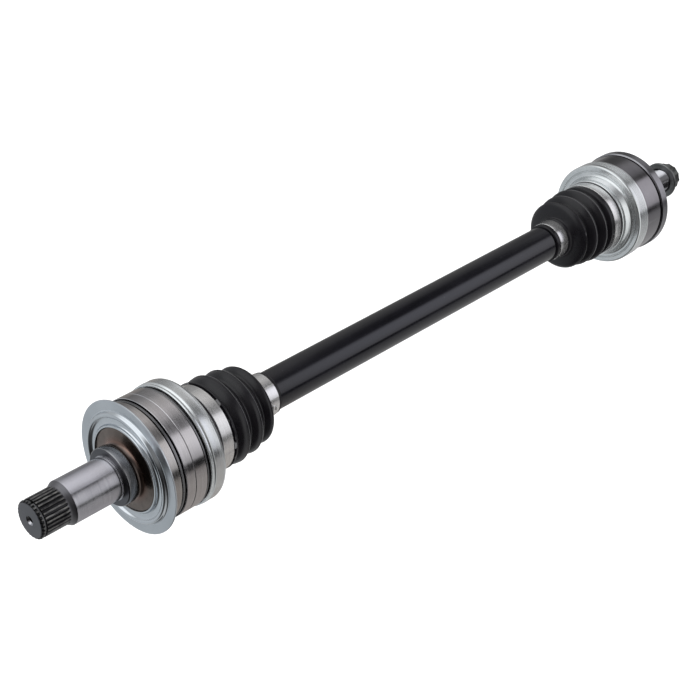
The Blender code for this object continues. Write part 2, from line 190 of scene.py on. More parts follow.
def metal(name, light, dark, rough, marks=900.0, mark_depth=0.000006, mottle=40.0, spots=0.0, bands=None,
          streaks=0.05, worn=None, metallic=1.0):
    """Bare or plated metal with turning marks round the shaft's axis, mottling and small specks.

    bands tints stretches along the shaft, and worn brightens what stands furthest from the axis.
    """
    n = Surface(name)
    rings = n.noise((marks, 14.0, 14.0), 3.0, 0.6)
    cloud = n.noise((mottle, mottle, mottle), 4.0, 0.6)
    colour = n.mix(n.remap(cloud, 0.32, 0.68, 0.0, 1.0), dark, light)
    if bands:
        start, end, stops = bands
        local = n.remap(n.along(), start * MM, end * MM, 0.0, 1.0)
        colour = n.mix(1.0, colour, n.ramp(local, stops), "MULTIPLY")
    shade = n.remap(rings, 0.3, 0.7, 1.0 - streaks, 1.0 + 0.5 * streaks)
    grey = n.add("ShaderNodeCombineColor")
    for k in range(3):
        n.link(shade, grey.inputs[k])
    colour = n.mix(1.0, colour, grey.outputs[0], "MULTIPLY")
    if worn:
        low, high, shine = worn
        patchy = n.remap(n.noise((160.0, 520.0, 520.0), 3.0, 0.7), 0.42, 0.62, 0.08, 1.0)
        height = n.add("ShaderNodeMath", operation="MULTIPLY")
        n.link(n.remap(n.from_axis(), low * MM, high * MM, 0.0, 1.0), height.inputs[0])
        n.link(patchy, height.inputs[1])
        colour = n.mix(height.outputs[0], colour, shine)
    if spots:
        speck = n.remap(n.noise((420.0, 420.0, 420.0), 2.0, 0.5), 0.66, 0.76, 0.0, spots)
        colour = n.mix(speck, colour, tuple(0.25 * c for c in dark))
    # Convex edges, found by pointiness, are lightened: a painted edge highlight.
    edge = n.add("ShaderNodeNewGeometry").outputs["Pointiness"]
    painted_edge_highlight = n.remap(edge, 0.53, 0.62, 0.0, 0.5)
    colour = n.mix(painted_edge_highlight, colour, tuple(min(1.0, 1.25 * c + 0.08) for c in light))
    n.link(colour, n.bsdf.inputs["Base Color"])
    n.bsdf.inputs["Metallic"].default_value = metallic
    smear = n.add("ShaderNodeMath", operation="ADD")
    n.link(n.remap(cloud, 0.3, 0.7, rough - 0.03, rough + 0.05), smear.inputs[0])
    n.link(n.remap(rings, 0.3, 0.7, -0.03, 0.03), smear.inputs[1])
    n.link(smear.outputs[0], n.bsdf.inputs["Roughness"])
    fine = n.bump(rings, 0.6, mark_depth)
    n.link(n.bump(n.noise((140.0, 140.0, 140.0), 3.0), 0.25, mark_depth * 4, fine), n.bsdf.inputs["Normal"])
    return n.material


def rubber(name):
    """Moulded boot rubber: near black, softly mottled, a grain of fine pits, pale on sharp edges and fold
    crests as a painted highlight.
    """
    n = Surface(name)
    cloud = n.noise((55.0, 55.0, 55.0), 4.0, 0.6)
    colour = n.mix(n.remap(cloud, 0.3, 0.7, 0.0, 1.0), (0.0042, 0.0036, 0.0050), (0.0064, 0.0056, 0.0076))
    # Sharp edges and the moulding line on each fold's crest, found by pointiness, turn pale grey: a painted
    # highlight.
    edge = n.add("ShaderNodeNewGeometry").outputs["Pointiness"]
    painted_crest_highlight = n.remap(edge, 0.515, 0.57, 0.0, 0.9)
    colour = n.mix(painted_crest_highlight, colour, (0.14, 0.14, 0.145))
    n.link(colour, n.bsdf.inputs["Base Color"])
    grain = n.noise((1500.0, 1500.0, 1500.0), 2.0, 0.6)
    n.link(n.remap(cloud, 0.3, 0.7, 0.24, 0.33), n.bsdf.inputs["Roughness"])
    n.bsdf.inputs["Specular IOR Level"].default_value = 0.36
    skin = n.bump(grain, 0.35, 0.00003)
    n.link(n.bump(cloud, 0.3, 0.0001, skin), n.bsdf.inputs["Normal"])
    return n.material


def paint(name):
    """Gloss black paint with a faint orange peel and dust."""
    n = Surface(name)
    cloud = n.noise((18.0, 45.0, 45.0), 4.0, 0.6)
    colour = n.mix(n.remap(cloud, 0.3, 0.7, 0.0, 1.0), (0.0035, 0.0035, 0.0050), (0.0065, 0.0062, 0.0090))
    dust = n.remap(n.noise((700.0, 700.0, 700.0), 1.0, 0.5), 0.72, 0.80, 0.0, 0.25)
    colour = n.mix(dust, colour, (0.09, 0.09, 0.10))
    n.link(colour, n.bsdf.inputs["Base Color"])
    n.link(n.remap(cloud, 0.3, 0.7, 0.13, 0.19), n.bsdf.inputs["Roughness"])
    n.bsdf.inputs["Specular IOR Level"].default_value = 0.5
    peel = n.noise((190.0, 190.0, 190.0), 2.0, 0.5)
    n.link(n.bump(peel, 0.25, 0.00004), n.bsdf.inputs["Normal"])
    return n.material


# Colour along the neck's flare: its heat tint, with painted shade darkening it towards the collar's corner
# and a painted pinkish highlight on the fillet.
HEAT_TINT_AND_PAINTED_LIGHT = (
    (0.00, (0.45, 0.42, 0.42)), (0.30, (0.60, 0.55, 0.52)), (0.48, (1.25, 1.05, 0.98)),
    (0.62, (1.55, 1.12, 0.98)), (0.74, (1.20, 0.95, 0.86)), (0.86, (1.05, 0.96, 0.90)),
    (1.00, (1.15, 1.06, 1.00)),
)
MATERIALS = {
    "ground": metal("ground_steel", (0.52, 0.515, 0.54), (0.47, 0.465, 0.49), 0.13, marks=1600.0),
    "turned": metal("turned_steel", (0.60, 0.585, 0.595), (0.54, 0.525, 0.535), 0.14, marks=1300.0),
    # The neck's heat tint, with painted shade and a painted highlight laid on by the bands.
    "flare": metal("heat_tint_and_painted_light_steel", (0.20, 0.18, 0.17), (0.10, 0.088, 0.08), 0.22, spots=0.5,
                   bands=(-313.6, -308.0, HEAT_TINT_AND_PAINTED_LIGHT), streaks=0.12),
    "brown": metal("browned_steel", (0.56, 0.54, 0.53), (0.47, 0.45, 0.44), 0.13),
    # The collar's faces and chamfers take a far darker steel than its land: painted shade.
    "collar": metal("collar_painted_shade_steel", (0.13, 0.13, 0.14), (0.09, 0.09, 0.10), 0.30),
    "land": metal("collar_land_steel", (0.31, 0.31, 0.32), (0.25, 0.25, 0.26), 0.18),
    "face": metal("end_face_steel", (0.17, 0.165, 0.175), (0.12, 0.12, 0.13), 0.34, streaks=0.10),
    "oxide": metal("black_oxide", (0.056, 0.056, 0.059), (0.024, 0.024, 0.026), 0.36, marks=500.0,
                   spots=0.5, streaks=0.15, worn=(13.9, 14.6, (0.23, 0.226, 0.215))),
    # Grooves, holes and the gap at the cup's end are near black: painted shade.
    "groove": metal("groove_painted_shade", (0.022, 0.022, 0.024), (0.012, 0.012, 0.013), 0.5),
    "recess": metal("recess_grey", (0.24, 0.24, 0.245), (0.17, 0.17, 0.175), 0.26),
    "bell": metal("bell_steel", (0.31, 0.30, 0.315), (0.26, 0.25, 0.265), 0.15, marks=1300.0),
    "flange": metal("flange_steel", (0.33, 0.325, 0.34), (0.27, 0.265, 0.28), 0.22),
    "zinc": metal("zinc_plate", (0.66, 0.69, 0.72), (0.57, 0.60, 0.63), 0.12, marks=300.0,
                  mark_depth=0.000003, mottle=28.0),
    "rim": metal("dulled_zinc", (0.63, 0.66, 0.69), (0.53, 0.56, 0.59), 0.30, marks=300.0,
                 mark_depth=0.000003, mottle=28.0),
    "can": metal("brushed_zinc", (0.73, 0.75, 0.755), (0.62, 0.64, 0.645), 0.19, marks=1100.0,
                 mark_depth=0.000006, metallic=0.92),
    "strip": metal("clamp_strip", (0.77, 0.765, 0.76), (0.69, 0.685, 0.68), 0.18, marks=700.0,
                   metallic=0.90),
    "bearing": metal("bearing_steel", (0.72, 0.72, 0.73), (0.66, 0.66, 0.67), 0.12, marks=1400.0,
                     mark_depth=0.000002),
    "spring": metal("spring_steel", (0.13, 0.13, 0.135), (0.08, 0.08, 0.085), 0.35),
    "phosphate": metal("black_phosphate", (0.27, 0.275, 0.27), (0.14, 0.145, 0.143), 0.28, spots=0.4,
                       streaks=0.2),
    "rubber": rubber("boot_rubber"),
    "paint": paint("gloss_black_paint"),
}


# ---------------------------------------------------------------- mesh making

def around(x, r, angle):
    return Vector((x, r * math.sin(angle), r * math.cos(angle)))


def softened(points, radius=0.25, steps=3):
    """Rounds the corners of an outline. A point is (x, r) or (x, r, own corner radius)."""
    out = [tuple(points[0][:2])]
    for before, here, after in zip(points, points[1:], points[2:]):
        a, p, b = (Vector(q[:2]) for q in (before, here, after))
        size = here[2] if len(here) > 2 else radius
        u, v = a - p, b - p
        if size <= 0 or u.length < 1e-6 or v.length < 1e-6:
            out.append(tuple(p))
            continue
        turn = u.angle(v)
        if turn > math.radians(172) or turn < math.radians(8):
            out.append(tuple(p))
            continue
        reach = min(size / math.tan(turn / 2), 0.38 * u.length, 0.38 * v.length)
        start, end = p + u.normalized() * reach, p + v.normalized() * reach
        out.append(tuple(start + u.normalized() * min(SUPPORT, 0.1 * u.length)))
        for k in range(steps + 1):
            t = k / steps
            out.append(tuple((1 - t) ** 2 * start + 2 * t * (1 - t) * p + t ** 2 * end))
        out.append(tuple(end + v.normalized() * min(SUPPORT, 0.1 * v.length)))
    out.append(tuple(points[-1][:2]))
    return out


def flowing(points, steps=6):
    """A smooth line through points, for moulded rubber and pressed sheet."""
    pts = [Vector(p[:2]) for p in points]
    pts = [pts[0] * 2 - pts[1], *pts, pts[-1] * 2 - pts[-2]]
    out = []
    for a, b, c, d in zip(pts, pts[1:], pts[2:], pts[3:]):
        for k in range(steps):
            t = k / steps
            out.append(tuple(0.5 * (
                2 * b + (c - a) * t + (2 * a - 5 * b + 4 * c - d) * t * t
                + (3 * b - a - 3 * c + d) * t ** 3
            )))
    out.append(tuple(pts[-2]))
    return out


def ridged(line, places, width=0.5, rise=0.28):
    """Adds a fine moulding line that runs round the top of each fold."""
    out = []
    for x in places:
        _, r = point_at(line, x)
        out += [(x - width, r), (x - 0.4 * width, r + rise), (x + 0.4 * width, r + rise), (x + width, r)]
    kept = [p for p in line if all(abs(p[0] - x) > width + 0.05 for x in places)]
    return sorted(kept + out)


def finish_mesh(bm, name, materials, smooth_angle=32):
    """Makes an object from a mesh drawn in millimetres, smooth but for its sharp edges."""
    bmesh.ops.remove_doubles(bm, verts=bm.verts, dist=2e-4)
    bmesh.ops.dissolve_degenerate(bm, edges=bm.edges, dist=1e-5)
    bmesh.ops.recalc_face_normals(bm, faces=bm.faces)
    bmesh.ops.transform(bm, matrix=Matrix.Scale(MM, 4), verts=bm.verts)
    mesh = bpy.data.meshes.new(name)
    bm.to_mesh(mesh)
    bm.free()
    for key in materials:
        mesh.materials.append(MATERIALS[key])
    mesh.shade_smooth()
    mesh.set_sharp_from_angle(angle=math.radians(smooth_angle))
    obj = bpy.data.objects.new(name, mesh)
    bpy.context.scene.collection.objects.link(obj)
    return obj


def turned(name, sections, closed=False, sides=ROUND, angle=32, gaps=()):
    """A body turned about X through sections of (material, outline, shape).

    shape is None or a function of (x, r, angle) that gives the radius there.
    An open outline starts and ends on the axis, and a closed one is a ring.
    gaps numbers the sections whose end isn't joined to the next one's start.
    """
    keys = []
    rows = []
    kinds = []
    loose = []
    for number, (key, outline, shape) in enumerate(sections):
        if key not in keys:
            keys.append(key)
        for x, r in outline:
            rows.append((x, r, shape))
            kinds.append(keys.index(key))
        if number in gaps:
            loose.append(len(rows) - 1)
    bm = bmesh.new()
    rings = []
    for x, r, shape in rows:
        if r < 1e-6:
            rings.append([bm.verts.new((x, 0, 0))] * sides)
            continue
        ring = []
        for k in range(sides):
            a = TAU * k / sides
            ring.append(bm.verts.new(around(x, shape(x, r, a) if shape else r, a)))
        rings.append(ring)
    pairs = list(zip(range(len(rings)), range(1, len(rings))))
    if closed:
        pairs.append((len(rings) - 1, 0))
    for i, j in pairs:
        if i in loose:
            continue
        for k in range(sides):
            m = (k + 1) % sides
            corners = []
            for v in (rings[i][k], rings[i][m], rings[j][m], rings[j][k]):
                if v not in corners:
                    corners.append(v)
            if len(corners) > 2:
                bm.faces.new(corners).material_index = kinds[j]
    return finish_mesh(bm, name, keys, angle)


def put(obj, body, slot, *nodes):
    """Rides a new piece on its body, in place of the CAD nodes it stands for."""
    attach(obj, body)
    if nodes:
        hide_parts(*nodes)


def teeth(count, depth, tip=0.36, flank=0.28):
    """Straight spline teeth, cut into the outer radius.

    tip and flank are the shares of half a tooth's pitch that its top and its side take.
    """
    def shape(x, r, a):
        t = (a / TAU * count) % 1.0
        cut = (min(t, 1 - t) * 2 - tip) / flank
        return r - depth * min(1.0, max(0.0, cut))
    return shape


def inner_teeth(count, depth):
    """Spline teeth that stand inwards from a bore."""
    cut = teeth(count, depth)
    return lambda x, r, a: r + depth + cut(x, 0.0, a)


def ball_offset(a):
    """How far an angle is from the nearest ball's."""
    step = TAU / BALLS
    return (a + step / 2) % step - step / 2


def straight_cup(x, r, a):
    """The inboard cup's bore with its straight ball tracks."""
    off = ball_offset(a)
    side = PITCH_R * math.sin(off)
    if abs(side) >= TRACK_R:
        return r
    return max(r, PITCH_R * math.cos(off) + math.sqrt(TRACK_R ** 2 - side ** 2))


def straight_race(x, r, a):
    """The inboard race's outside with the same tracks."""
    off = ball_offset(a)
    side = PITCH_R * math.sin(off)
    if abs(side) >= TRACK_R:
        return r
    return min(r, PITCH_R * math.cos(off) - math.sqrt(TRACK_R ** 2 - side ** 2))


def curved_radius(x, a, sign):
    """The radius of a track that curves about the outboard joint's centre, or None beside it."""
    off = ball_offset(a)
    along = x - CENTRE_OUT
    r = math.sqrt(max(PITCH_R ** 2 - along ** 2, 1.0)) + sign * TRACK_R
    for _ in range(12):
        side = r * math.sin(off)
        if abs(side) >= TRACK_R:
            return None
        reach = PITCH_R + sign * math.sqrt(TRACK_R ** 2 - side ** 2)
        if reach ** 2 <= along ** 2:
            return None
        r = math.sqrt(reach ** 2 - along ** 2) / math.cos(off)
    return r


def curved_bell(x, r, a):
    """The outboard bell's hollow with its curved ball tracks."""
    found = curved_radius(x, a, 1)
    return r if found is None else max(r, found)


def curved_race(x, r, a):
    """The outboard race's outside with the same tracks."""
    found = curved_radius(x, a, -1)
    return r if found is None else min(r, found)


def thread(pitch, depth):
    """A helical thread, cut into the outer radius."""
    def shape(x, r, a):
        t = (x / pitch - a / TAU) % 1.0
        return r - depth * abs(2 * t - 1)
    return shape


def steps_between(x0, x1, r, size):
    """A straight outline in steps of about one size, fine enough to carry a thread."""
    count = max(1, round(abs(x1 - x0) / size))
    return [(x0 + (x1 - x0) * k / count, r) for k in range(count + 1)]


def sphere_line(centre, radius, x0, x1, steps):
    """A ball's outline between two places along X."""
    out = []
    for k in range(steps + 1):
        x = x0 + (x1 - x0) * k / steps
        out.append((centre + x, math.sqrt(radius ** 2 - x * x)))
    return out


def scribed(x, r, width=0.35, depth=0.16):
    """A fine line cut round a cylinder."""
    return [(x - width / 2, r), (x, r - depth), (x + width / 2, r)]


# ---------------------------------------------------------------- inboard side

def inboard_housing():
    """Splined stub, seal journal, collar, neck with heat tint and painted light, and joint cup, from the tip
    inwards.
    """
    spline = teeth(STUB_TEETH, 1.15)
    outline = [
        ("groove", [(-381.0, 0), (-382.0, 1.6), (-386.8, 1.6), (-388.4, 2.4)], None),
        ("ground", [(-388.5, 2.5), (-389.8, 3.6)], None),
        ("face", softened([(-389.8, 3.6), (-390.0, 3.9, 0), (-390.0, 12.8, 0.3), (-389.7, 13.3, 0)]), None),
        ("oxide", [(-389.6, 13.8), (-388.9, 14.4), (-388.5, 14.6), (-387.5, 14.6)], spline),
        ("groove", [(-387.45, 12.4), (-385.75, 12.4)], None),
        ("oxide", [(-385.7, 14.45), (-385.5, 14.6), (-370.0, 14.6), (-367.2, 14.6)], spline),
        ("face", softened([(-366.6, 14.65), (-366.3, 14.7, 0), (-362.9, 16.7), (-362.6, 16.9, 0)]), None),
        ("ground", softened([(-362.6, 16.9), (-325.0, 16.9), (-324.6, 16.3), (-323.7, 16.3),
                             (-323.5, 17.2), (-322.5, 17.2, 0.1), (-322.5, 17.3)], 0.12), None),
        ("collar", [(-322.5, 17.3), (-322.5, 21.7), (-322.2, 22.1)], None),
        ("land", softened([(-322.1, 22.2), (-321.8, 22.5), (-315.0, 22.5, 0.4), (-314.8, 21.9, 0)], 0.15),
         None),
        ("collar", [(-314.7, 21.5), (-314.4, 20.6), (-313.8, 20.5)], None),
        ("flare", flowing([(-313.6, 20.5), (-312.4, 20.6), (-311.0, 21.2), (-309.9, 22.6), (-309.2, 24.8),
                           (-308.8, 27.4), (-308.6, 30.4)]), None),
        ("flare", [(-308.6, 30.6), (-308.7, 30.9), (-308.6, 31.2)], None),
        ("flare", softened([(-308.6, 31.3), (-308.5, 32.4, 0.35), (-304.6, 32.4, 0), (-304.6, 33.0)]), None),
        ("brown", softened([(-304.6, 45.2), (-303.7, 46.3, 0.2), (-295.4, 46.3, 0.2), (-295.1, 45.8)]), None),
        ("groove", [(-295.0, 45.5), (-294.9, 45.2), (-294.5, 45.2), (-294.4, 45.5)], None),
        ("recess", softened([(-294.35, 45.7), (-294.1, 46.2, 0.1), (-292.5, 46.2, 0.1), (-292.3, 45.8, 0)],
                            0.1), None),
        ("groove", [(-292.2, 45.5), (-292.1, 45.2), (-291.6, 45.2), (-291.45, 46.8)], None),
        ("turned", [(-291.4, 46.95), (-291.15, 47.2), (-290.8, 47.2), *scribed(-283.2, 47.2, 0.8, 0.5),
                    (-273.2, 47.2), (-272.9, 47.2), (-272.6, 46.9)], None),
        ("groove", [(-272.6, 45.0), (-269.0, 45.0)], None),
        ("turned", [(-268.9, 45.0), (-268.6, 46.6), (-259.1, 46.6), (-258.7, 46.2),
                    (-258.7, 42.5)], None),
        ("bearing", [(-258.7, 35.6), (-299.0, 35.6), (-299.4, 32.9)], straight_cup),
        ("bearing", [(-299.5, 32.9), (-302.4, 31.2), (-302.9, 0)], None),
    ]
    body = turned("inboard_stub_housing_detail", outline, sides=336)
    put(body, STUB, "machined_steel", "inboard_stub_housing")


def dust_shield():
    """A pressed ring with a round bead and a flat rim."""
    front = [
        (-309.4, 33.2), (-309.2, 34.0), (-308.2, 34.3), (-307.2, 34.8), (-306.7, 35.9), (-306.6, 37.3),
        (-306.8, 38.6), (-307.5, 39.6), (-308.5, 40.3), (-309.0, 41.2), (-309.0, 42.1), (-308.4, 42.9),
        (-307.2, 43.5), (-306.4, 44.0), (-306.1, 44.7),
    ]
    rim = [(-306.1, 45.0), (-306.1, 51.9), (-305.9, 52.2), (-305.1, 52.2), (-304.9, 51.9), (-304.9, 44.9)]
    back = [
        (-304.9, 44.6), (-305.3, 43.6), (-306.2, 42.9), (-307.4, 42.2), (-307.8, 41.6), (-307.4, 41.0),
        (-306.2, 40.2), (-305.5, 38.6), (-305.4, 36.6), (-305.9, 33.8), (-306.4, 32.8), (-309.2, 32.8),
        (-309.4, 33.0),
    ]
    body = turned(
        "inboard_dust_shield_detail",
        [("zinc", flowing(front, 3), None), ("rim", softened(rim, 0.2), None),
         ("zinc", flowing(back, 2), None)],
        closed=True, angle=50,
    )
    put(body, STUB, "zinc_plate", "inboard_dust_shield")


def inboard_can():
    """The rolled can that holds the boot on the cup, and the seal in front of it."""
    outer = softened([
        (-269.5, 47.1), (-269.4, 47.9, 0.3), (-268.6, 48.3, 0.3), (-267.7, 47.9, 0.5), (-266.9, 47.85, 0.5),
        (-265.7, 48.6, 0.6), (-264.0, 48.6), (-260.5, 48.4, 2.0), (-257.9, 48.5, 0.8), (-256.3, 48.0, 0.8),
        (-255.2, 46.9, 0.8), (-254.8, 45.4, 0.8), (-254.8, 32.2, 0.8), (-254.2, 30.9, 0.8),
        (-233.2, 30.9),
    ], 0.3, 4)
    inner = softened([
        (-233.2, 29.7), (-255.2, 29.7, 0.8), (-256.0, 31.0, 0.8), (-256.0, 45.6, 0.8),
        (-257.4, 47.1, 0.8), (-269.4, 47.0),
    ], 0.3)
    body = turned("inboard_boot_can_detail", [("can", outer, None), ("can", inner, None)], closed=True)
    put(body, STUB, "zinc_plate", "inboard_boot_can")
    seal = softened([(-272.2, 45.2), (-272.2, 46.6), (-271.9, 46.9), (-270.9, 46.9), (-270.7, 46.7),
                     (-270.7, 45.2)], 0.15)
    body = turned("inboard_seal_ring_detail", [("recess", seal, None)], closed=True)
    put(body, STUB, "rubber", "inboard_seal_ring")


def split_ring(name, x0, x1, inner, outer, body, node):
    """A round-cornered snap ring with its gap at the top."""
    bm = bmesh.new()
    corner = [
        (x0 + RING_BEVEL, outer), (x1 - RING_BEVEL, outer), (x1, outer - RING_BEVEL),
        (x1, inner), (x0, inner), (x0, outer - RING_BEVEL),
    ]
    gap = math.asin(1.5 / inner)
    sides = 64
    rings = []
    for k in range(sides + 1):
        a = gap + (TAU - 2 * gap) * k / sides
        rings.append([bm.verts.new(around(x, r, a)) for x, r in corner])
    bm.faces.new(rings[0])
    bm.faces.new(rings[-1])
    for one, two in zip(rings, rings[1:]):
        for k in range(len(corner)):
            m = (k + 1) % len(corner)
            bm.faces.new((one[k], one[m], two[m], two[k]))
    put(finish_mesh(bm, name, ["spring"]), body, "spring_steel", node)


def boot(prefix, line, thick, cuts, links, nodes):
    """One moulded boot in segments that meet edge to edge.

    line is the outer outline, thick the wall, cuts the places where segments meet, and links the bodies from
    the first segment's start to the last one's end.
    """
    def between(a, b):
        inside = [p for p in line if a + 1e-4 < p[0] < b - 1e-4]
        return [point_at(line, a), *inside, point_at(line, b)]

    first, last = line[0][0], line[-1][0]
    bounds = [first, *cuts, last]
    for i in range(len(links) - 1):
        outer = between(bounds[i], bounds[i + 1])
        inner = [(x, r - thick(x)) for x, r in reversed(outer)]
        gaps = ([0] if i < len(links) - 2 else []) + ([1] if i > 0 else [])
        obj = turned(f"{prefix}_boot_{i + 1}", [("rubber", outer, None), ("rubber", inner, None)],
                     closed=True, angle=40, gaps=gaps)
        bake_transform(obj)
        for node in nodes.get(i, ()):
            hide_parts(node)


def point_at(line, x):
    """The point of an outline at one place along X."""
    for (x0, r0), (x1, r1) in zip(line, line[1:]):
        if x0 <= x <= x1:
            t = (x - x0) / (x1 - x0) if x1 > x0 else 0.0
            return (x, r0 + (r1 - r0) * t)
    raise ValueError(f"no outline at {x}")


def inboard_boot():
    """Clamped cuff, three folds and a small sleeve on the shaft."""
    cuff = softened([
        (-251.0, 32.6), (-250.6, 33.2), (-248.0, 33.2), (-247.6, 34.1), (-245.6, 34.1), (-245.4, 33.3),
        (-235.2, 33.2), (-235.0, 32.9), (-233.9, 32.9), (-233.7, 34.8), (-233.4, 35.1), (-232.4, 35.1),
        (-231.7, 34.6),
    ], 0.2)
    folds = flowing([
        (-231.7, 34.6), (-231.0, 33.0), (-230.2, 31.6), (-229.0, 32.2), (-226.6, 34.2), (-224.4, 35.2),
        (-222.4, 35.5), (-220.6, 35.3), (-218.6, 34.3), (-216.4, 32.2), (-214.8, 30.2), (-213.6, 30.3),
        (-211.8, 32.1), (-210.0, 33.4), (-208.0, 33.9), (-206.2, 33.8), (-204.2, 32.9), (-202.0, 30.6),
        (-200.2, 28.3), (-199.0, 28.2), (-197.4, 29.8), (-195.6, 31.1), (-194.0, 31.6), (-192.4, 31.1),
        (-190.9, 29.7), (-189.4, 27.2), (-187.8, 23.4), (-186.4, 20.4), (-185.1, 18.2), (-184.0, 17.1),
    ], 5)
    sleeve = softened([
        (-184.0, 17.1), (-183.4, 16.9), (-173.1, 16.9), (-172.9, 17.2), (-170.9, 17.3, 0.2),
        (-170.5, 16.9),
    ], 0.15)
    line = ridged(cuff + folds[1:] + sleeve[1:], (-221.0, -206.7))

    def wall(x):
        if x < -231:
            return 2.0
        return 2.3 if x > -185 else 1.9

    boot(
        "inboard", line, wall, (-223.2, -217.6, -211.7, -205.3),
        (STUB, SLIDER, "inboard_bottom_ball", "inboard_cage_set", "inboard_top_ball", SHAFT),
        {0: ("inboard_boot_cuff", "inboard_boot_fold_1"), 3: ("inboard_boot_fold_2",),
         4: ("inboard_boot_neck",)},
    )


def clamp(name, x0, x1, inner, thick, body, node, seam, ear=None, lap=64):
    """A rolled strip clamp that laps over itself, with an ear pinched up where one is named."""
    far = math.radians(lap)

    def outside(x, r, a):
        past = (a - seam) % TAU
        lift = 0.0
        if past < far:
            lift = 0.5 * thick * min(1.0, past / LAP_RAMP, (far - past) / LAP_RAMP)
        if ear is not None:
            off = (a - ear + math.pi) % TAU - math.pi
            if abs(off) < EAR_HALF:
                lift += EAR_RISE * min(1.0, (EAR_HALF - abs(off)) / EAR_RAMP)
        return r + lift

    top = inner + thick
    low = inner + thick - CLAMP_EDGE
    outer = [(x0, low), (x0 + CLAMP_EDGE, top), (x0 + 0.5, top), (x1 - 0.5, top), (x1 - CLAMP_EDGE, top),
             (x1, low)]
    obj = turned(name, [("strip", outer, outside), ("strip", [(x1, inner), (x0, inner)], None)],
                 closed=True, sides=288, angle=25)
    put(obj, body, "stainless", node)


def clamp_hooks(name, middle, radius, hooks, body, material="strip"):
    """Small raised tongues, each at (angle, place along the shaft, length along and round, height)."""
    bm = bmesh.new()
    for angle, shift, along, wide, high in hooks:
        made = bmesh.ops.create_cube(bm, size=1.0)["verts"]
        bmesh.ops.transform(bm, matrix=Matrix.Diagonal((along, wide, high, 1.0)), verts=made)
        bmesh.ops.scale(bm, vec=(0.8, 0.75, 1.0), verts=[v for v in made if v.co.z > 0])
        lift = Matrix.Translation((middle + shift, 0, radius))
        bmesh.ops.transform(bm, matrix=Matrix.Rotation(-angle, 4, "X") @ lift, verts=made)
    obj = finish_mesh(bm, name, [material], 30)
    soft = obj.modifiers.new("soft edges", "BEVEL")
    soft.width = 0.15 * MM
    soft.segments = 2
    put(obj, body, "rubber" if material == "rubber" else "stainless")


# ---------------------------------------------------------------- inside the joints

def balls(prefix, centre):
    """Six balls. The top and the bottom one lie on the bend's axis and are bodies of their own."""
    riders = {1: f"{prefix}_top_ball", 4: f"{prefix}_bottom_ball"}
    for k in range(BALLS):
        bm = bmesh.new()
        middle = around(centre, PITCH_R, TAU * k / BALLS)
        bmesh.ops.create_icosphere(bm, subdivisions=4, radius=BALL_R, matrix=Matrix.Translation(middle))
        name = f"{prefix}_ball_{k + 1}"
        obj = finish_mesh(bm, f"{name}_detail", ["bearing"], 80)
        put(obj, riders.get(k + 1, f"{prefix}_cage_set"), "bearing_steel", name)


def cage(prefix, centre):
    """A spherical cage with rounded windows, one for each ball."""
    outer = sphere_line(centre, CAGE_OUT, -CAGE_HALF, CAGE_HALF, 14)
    inner = sphere_line(centre, CAGE_IN, CAGE_HALF, -CAGE_HALF, 12)
    obj = turned(f"{prefix}_cage_detail", [("bearing", outer, None), ("bearing", inner, None)], closed=True,
                 sides=120)
    bm = bmesh.new()
    far_x, far_y = BALL_R + 0.15 - WINDOW_CORNER, WINDOW_HALF - WINDOW_CORNER
    for k in range(BALLS):
        turn = Matrix.Rotation(-TAU * k / BALLS, 4, "X")
        loop = []
        for cx, cy, start in (
            (far_x, far_y, 0), (-far_x, far_y, 90), (-far_x, -far_y, 180), (far_x, -far_y, 270)
        ):
            for s in range(5):
                t = math.radians(start + 22.5 * s)
                loop.append((cx + WINDOW_CORNER * math.cos(t), cy + WINDOW_CORNER * math.sin(t)))
        low = [bm.verts.new(turn @ Vector((centre + x, y, 22.0))) for x, y in loop]
        high = [bm.verts.new(turn @ Vector((centre + x, y, 42.0))) for x, y in loop]
        bm.faces.new(low)
        bm.faces.new(high)
        for i in range(len(loop)):
            j = (i + 1) % len(loop)
            bm.faces.new((low[i], low[j], high[j], high[i]))
    cutter = finish_mesh(bm, f"{prefix}_windows", ["bearing"])
    cut = obj.modifiers.new("windows", "BOOLEAN")
    cut.operation = "DIFFERENCE"
    cut.solver = "EXACT"
    cut.object = cutter
    bpy.context.view_layer.update()
    made = bpy.data.meshes.new_from_object(obj.evaluated_get(bpy.context.evaluated_depsgraph_get()))
    obj.modifiers.clear()
    obj.data = made
    made.set_sharp_from_angle(angle=math.radians(32))
    bpy.data.objects.remove(cutter, do_unlink=True)
    put(obj, f"{prefix}_cage_set", "bearing_steel", f"{prefix}_cage")


def inner_race(prefix, centre, shape):
    """A ball-shaped race with tracks outside and a splined bore."""
    outer = sphere_line(centre, RACE_R, -RACE_HALF, RACE_HALF, 16)
    bore = [(centre + RACE_HALF, 12.2), (centre - RACE_HALF, 12.2)]
    obj = turned(f"{prefix}_inner_race_detail",
                 [("bearing", outer, shape), ("bearing", bore, inner_teeth(HIDDEN_TEETH, HIDDEN_DEPTH))],
                 closed=True, sides=240)
    put(obj, SHAFT, "bearing_steel", f"{prefix}_inner_race")


